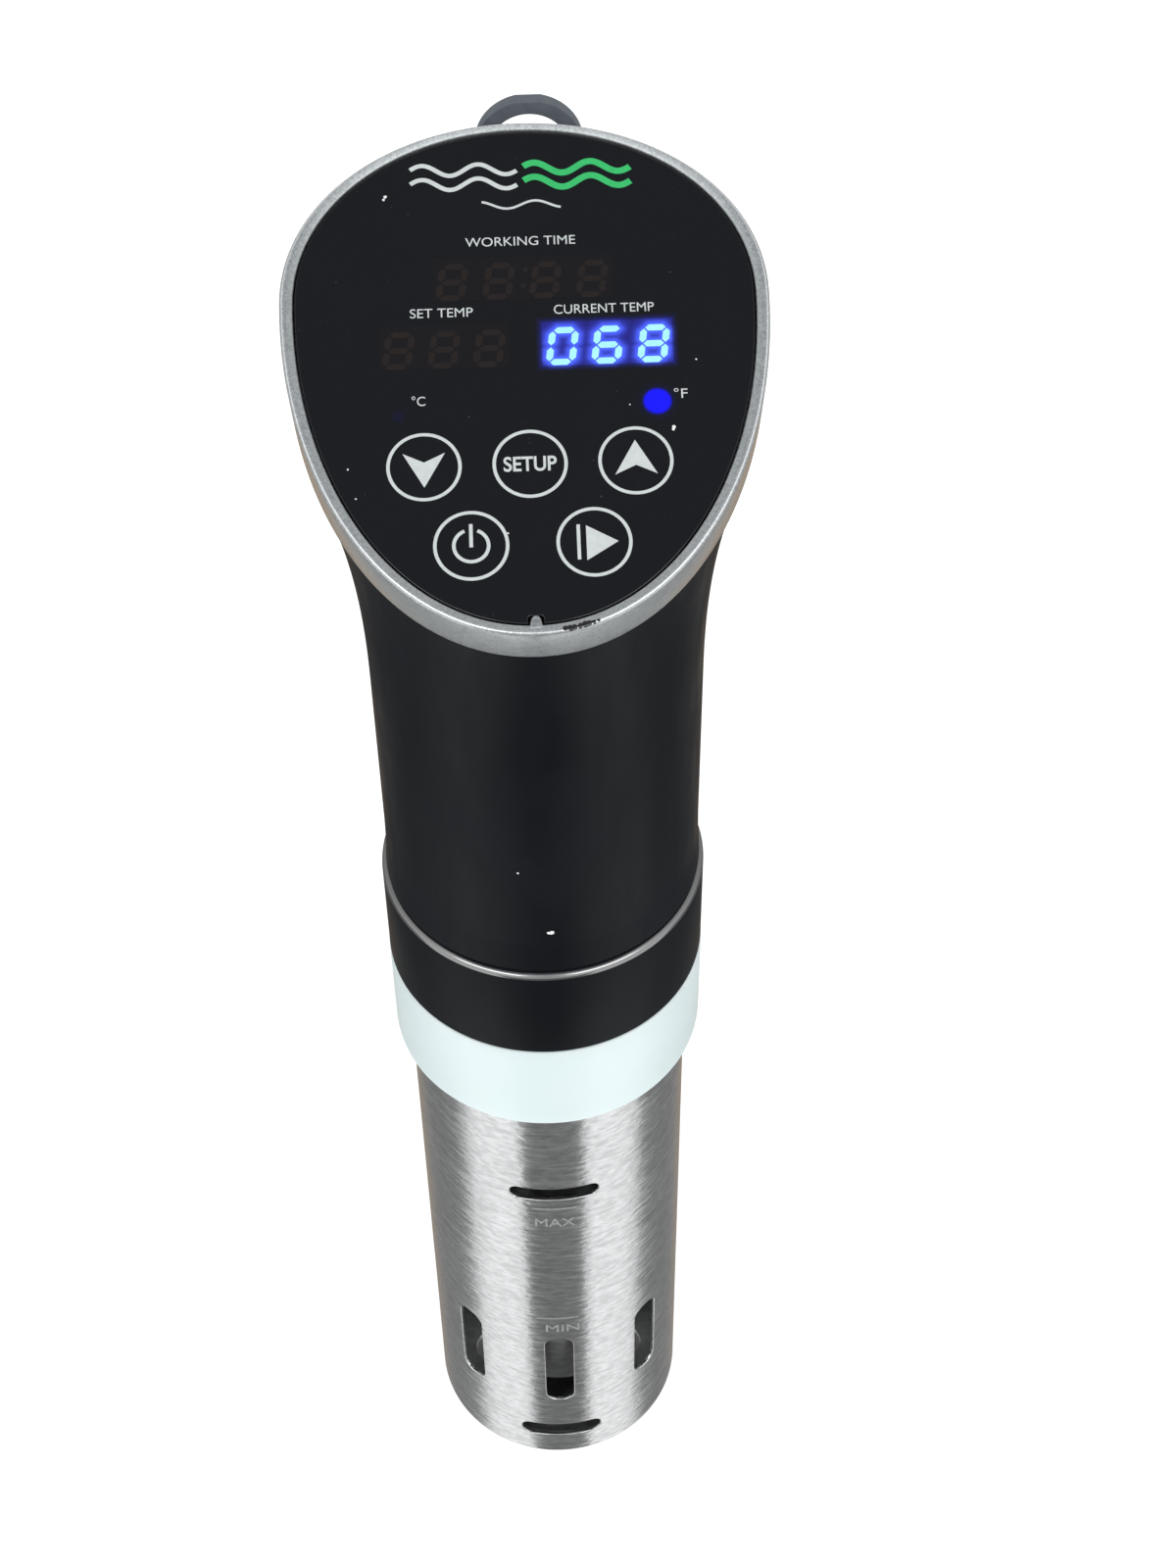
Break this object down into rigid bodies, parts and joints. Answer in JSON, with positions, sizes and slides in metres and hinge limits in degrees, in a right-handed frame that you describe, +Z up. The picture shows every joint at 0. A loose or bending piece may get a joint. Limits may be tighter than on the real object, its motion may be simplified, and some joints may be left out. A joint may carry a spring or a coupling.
{
  "type": "sous vide circulator",
  "caption": "Stick immersion circulator: slotted steel skirt, translucent light ring, round black grip and tilted egg-shaped touch head with rear pot clip.",
  "frame": {"origin": "on the axis of the steel skirt, at the flat underside of the bottom cap, where the circulator stands", "axes": "+Z up along the skirt's axis to the head, -Y to the side that the touch panel faces, +X to the right of someone facing the panel"},
  "size_m": [0.0858, 0.1001, 0.3404],
  "materials": {
    "skirt_steel": "brushed around the tube",
    "ring_white": "milky translucent, satin",
    "casing_black": "near black, soft gloss",
    "bezel_silver": "silver metallic paint with fine flake",
    "panel_glass": "black glass, polished",
    "rubber_black": "matte",
    "loop_grey": "dark grey, matte",
    "board_green": "solder mask",
    "display_black": "smoked display face",
    "lens_blue": "tinted lens",
    "plastic_black": "fine moulded grain",
    "winding_copper": "lacquered winding",
    "brass": "turned",
    "machined_steel": "machined, bright"
  },
  "bodies": {
    "body": {"bezel": "bezel_silver", "board_screw_lower": "machined_steel", "board_screw_upper": "machined_steel", "buzzer": "plastic_black", "casing_screw_left": "machined_steel", "casing_screw_right": "machined_steel", "chassis": "plastic_black", "clip_bracket": "plastic_black", "clip_pin": "machined_steel", "clip_screw_lower": "machined_steel", "clip_screw_upper": "machined_steel", "clip_spring": "machined_steel", "collar": "casing_black", "cord_gland": "rubber_black", "current_temp_display": "display_black", "display_board": "board_green", "display_screw_left": "machined_steel", "display_screw_right": "machined_steel", "filter_capacitor": "plastic_black", "flow_sleeve": "skirt_steel", "front_casing": "casing_black", "hanging_loop": "loop_grey", "heater_base": "machined_steel", "heater_coil": "machined_steel", "heater_relay": "plastic_black", "led_celsius": "lens_blue", "led_fahrenheit": "lens_blue", "level_probe": "machined_steel", "light_board": "board_green", "light_ring": "ring_white", "lower_bearing": "brass", "motor_can": "machined_steel", "motor_cap": "plastic_black", "motor_stator": "winding_copper", "panel_gasket": "rubber_black", "power_board": "board_green", "rear_casing": "casing_black", "set_temp_display": "display_black", "shaft_bush": "brass", "shaft_seal": "rubber_black", "shaft_tube": "machined_steel", "skirt_seal": "rubber_black", "temp_probe": "machined_steel", "time_display": "display_black", "touch_panel": "panel_glass", "touch_spring_down": "brass", "touch_spring_power": "brass", "touch_spring_setup": "brass", "touch_spring_start": "brass", "touch_spring_up": "brass", "transformer": "winding_copper", "upper_bearing": "brass"},
    "skirt": {"steel_skirt": "skirt_steel", "bottom_cap": "skirt_steel"},
    "rotor": {"drive_shaft": "machined_steel", "motor_rotor": "machined_steel", "cooling_fan": "plastic_black", "impeller": "plastic_black"},
    "clip": {"clip_lever": "plastic_black", "clip_pad": "rubber_black"}
  },
  "joints": [
    {"name": "rotor_spin", "type": "hinge", "parent": "body", "child": "rotor", "pos_m": [0, 0, 0.2], "axis": [0, 0, 1], "continuous": true},
    {"name": "skirt_twist", "type": "hinge", "parent": "body", "child": "skirt", "pos_m": [0, 0, 0.1], "axis": [0, 0, 1], "range_deg": [0, 20]},
    {"name": "clip_open", "type": "hinge", "parent": "body", "child": "clip", "pos_m": [0, 0.042, 0.189], "axis": [1, 0, 0], "range_deg": [0, 22], "stiffness_Nm_per_rad": 0.8, "springref_deg": -14.32}
  ]
}
